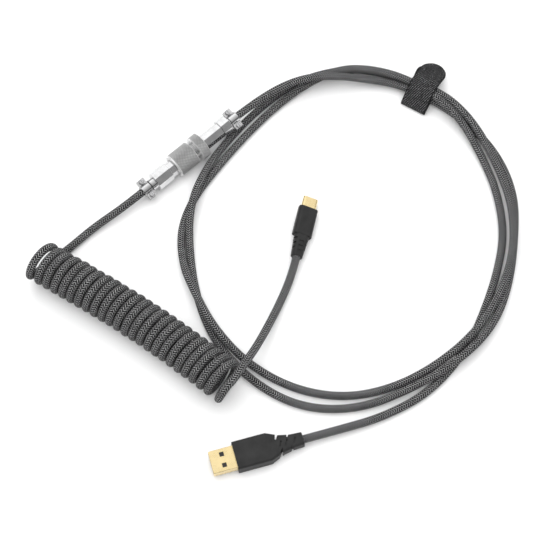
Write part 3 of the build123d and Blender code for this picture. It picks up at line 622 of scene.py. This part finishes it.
def hook_and_loop(name):
    """Napped tape: loops over ground that has slanted ribs near the fold, painted lighter on the rib crests
    and darker in their troughs, with darker bound edges.
    """
    material, tree, shader = start_material(name)
    place = object_coordinates(tree)
    uv = tree.nodes.new("ShaderNodeUVMap")
    uv.uv_map = "weave"
    split = tree.nodes.new("ShaderNodeSeparateXYZ")
    tree.links.new(uv.outputs["UV"], split.inputs["Vector"])
    drift = noise(tree, place, 260, 2)
    across = math_node(tree, "MULTIPLY_ADD", drift, RIB_DRIFT, split.outputs["X"])
    across = math_node(tree, "MULTIPLY_ADD", split.outputs["Y"], RIB_SLANT, across)
    ribs = math_node(tree, "SINE", math_node(tree, "MULTIPLY", across, 2 * math.pi / RIB_PITCH))
    ribbed = tree.nodes.new("ShaderNodeMapRange")
    ribbed.interpolation_type = "SMOOTHSTEP"
    ribbed.inputs["From Min"].default_value = RIBBED_TO[0]
    ribbed.inputs["From Max"].default_value = RIBBED_TO[1]
    ribbed.inputs["To Min"].default_value = 1
    ribbed.inputs["To Max"].default_value = 0.15
    tree.links.new(split.outputs["Y"], ribbed.inputs["Value"])
    loops = tree.nodes.new("ShaderNodeTexVoronoi")
    loops.inputs["Scale"].default_value = 1500
    tree.links.new(place, loops.inputs["Vector"])
    fuzz = noise(tree, place, 2600, 4, 0.7)
    patch = noise(tree, place, 300, 3)
    rib_height = math_node(tree, "MULTIPLY", ribs, ribbed.outputs["Result"])
    height = math_node(tree, "MULTIPLY_ADD", rib_height, 0.5, loops.outputs["Distance"])
    height = math_node(tree, "MULTIPLY_ADD", fuzz, 0.7, height)
    # Painted highlight and shade: rib height shifts the colour, lighter on the crests and darker in the
    # troughs, on top of the fibre fuzz.
    fuzz_and_rib_shade = math_node(tree, "MULTIPLY_ADD", rib_height, 0.11, fuzz)
    base = ramp(
        tree, fuzz_and_rib_shade,
        ((0.34, (0.005, 0.005, 0.0055)), (0.5, (0.016, 0.016, 0.0165)), (0.6, (0.08, 0.08, 0.082)),
         (0.74, (0.42, 0.42, 0.43))),
    )
    edge = math_node(tree, "GREATER_THAN", math_node(tree, "ABSOLUTE", split.outputs["X"]), BOUND_EDGE)
    bound = mix(tree, math_node(tree, "MULTIPLY", edge, 0.85), base, BINDING_COLOUR)
    varied = tree.nodes.new("ShaderNodeHueSaturation")
    tree.links.new(bound, varied.inputs["Color"])
    tree.links.new(math_node(tree, "MULTIPLY_ADD", patch, 0.6, 0.7), varied.inputs["Value"])
    tree.links.new(varied.outputs["Color"], shader.inputs["Base Color"])
    tree.links.new(math_node(tree, "MULTIPLY_ADD", fuzz, 0.15, 0.78), shader.inputs["Roughness"])
    shader.inputs["Specular IOR Level"].default_value = 0.2
    bump(tree, shader, height, 0.0004)
    return material


tape_material = hook_and_loop("strap_tape")
for piece in (lower_tape, upper_tape):
    piece.data.materials.append(tape_material)
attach(lower_tape, "straight_half")
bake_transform(upper_tape)
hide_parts("strap_band")
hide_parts("strap_tab")

# ------------------------------------------------------------------ finishes of the CAD nodes
satin = knurl_finish("satin_knurl")
chrome = plated("bright_plating", (0.7, 0.7, 0.705), 0.07, 0.06, edge_radius=0.3 * MM)
steel = plated("screw_steel", (0.70, 0.70, 0.71), 0.16, 0.1)
gold_shell = plated("gold_shell", (0.95, 0.77, 0.42), 0.2, 0.1, 0.2)
gold = plated("gold_plating", (0.90, 0.64, 0.25), 0.15, 0.08)
black = moulding("black_moulding", (0.015, 0.015, 0.015), 0.34)
insulator = moulding("insulator", (0.02, 0.02, 0.021), 0.35)
tongue = moulding("tongue_plastic", (0.02, 0.02, 0.021), 0.4)
board = moulding("board", (0.01, 0.09, 0.035), 0.3)
sheath = moulding("wire_sheath", (0.42, 0.03, 0.025), 0.45, lift=1.4)
FINISHES = {
    "bright_plating": chrome, "screw_steel": steel, "gold_shell": gold_shell, "gold_plating": gold,
    "black_moulding": black, "insulator": insulator, "tongue_plastic": tongue, "board": board,
    "wire_sheath": sheath, "satin_knurl": satin, "strap_tape": tape_material, "braid": braid,
}
for entry in frame["record"]["subparts"]:
    node = nodes[entry["node"]]
    node.data.materials.clear()
    node.data.materials.append(FINISHES[entry["material_slot"]])
for piece in (nut, grip):
    piece.data.materials.append(satin)

# ------------------------------------------------------------------ floor and light
FLOOR_HALF = 3.0
FLOOR_DROP = 0.2 * MM
floor_corners = [(FLOOR_HALF * x, FLOOR_HALF * y, 0) for x, y in ((-1, -1), (1, -1), (1, 1), (-1, 1))]
floor_mesh = bpy.data.meshes.new("floor")
floor_mesh.from_pydata(floor_corners, [], [(0, 1, 2, 3)])
floor = bpy.data.objects.new("floor", floor_mesh)
floor.location.z = -FLOOR_DROP
scene.collection.objects.link(floor)
floor_material, _, floor_shader = start_material("floor")
floor_shader.inputs["Base Color"].default_value = (0.92, 0.92, 0.92, 1)
floor_shader.inputs["Roughness"].default_value = 0.9
floor_mesh.materials.append(floor_material)

# A sky that is bright overhead and dark low down, dimmer in front than behind, over a pale horizon.
WORLD_STRENGTH = 1.5
world = bpy.data.worlds.new("world")
world.use_nodes = True
world_tree = world.node_tree
world_place = world_tree.nodes.new("ShaderNodeTexCoord")
world_split = world_tree.nodes.new("ShaderNodeSeparateXYZ")
world_tree.links.new(world_place.outputs["Generated"], world_split.inputs["Vector"])
sky = ramp(
    world_tree, world_split.outputs["Z"],
    greys((0.0, 0.02), (0.3, 0.05), (0.5, 0.5), (0.7, 1.0)),
)
front_to_back = ramp(
    world_tree, math_node(world_tree, "MULTIPLY_ADD", world_split.outputs["Y"], 0.5, 0.5),
    greys((0.3, 0.27), (0.55, 0.6), (0.66, 0.74), (0.81, 1.0)),
)
softbox = world_tree.nodes.new("ShaderNodeMix")
softbox.data_type = "RGBA"
softbox.blend_type = "MULTIPLY"
softbox.inputs["Factor"].default_value = 1.0
world_tree.links.new(sky, softbox.inputs[6])
world_tree.links.new(front_to_back, softbox.inputs[7])
low_band = ramp(world_tree, world_split.outputs["Z"], greys((0.12, 1), (0.2, 0)))
backdrop = mix(world_tree, low_band, softbox.outputs[2], (0.62, 0.62, 0.62))
world_tree.links.new(backdrop, world_tree.nodes["Background"].inputs["Color"])
world_tree.nodes["Background"].inputs["Strength"].default_value = WORLD_STRENGTH
scene.world = world


def area_light(name, at, aim, size, power):
    data = bpy.data.lights.new(name, "AREA")
    data.shape = "RECTANGLE"
    data.size = size[0]
    data.size_y = size[1]
    data.energy = power
    lamp = bpy.data.objects.new(name, data)
    lamp.location = at
    lamp.rotation_euler = (Vector(aim) - Vector(at)).to_track_quat("-Z", "Y").to_euler()
    lamp.visible_glossy = False
    scene.collection.objects.link(lamp)


area_light("key", (-0.2, -0.6, 1.6), (0, 0, 0), (2.4, 2.0), 27)
area_light("fill", (0.1, 0.9, 1.5), (0, 0, 0), (2.0, 1.4), 10)
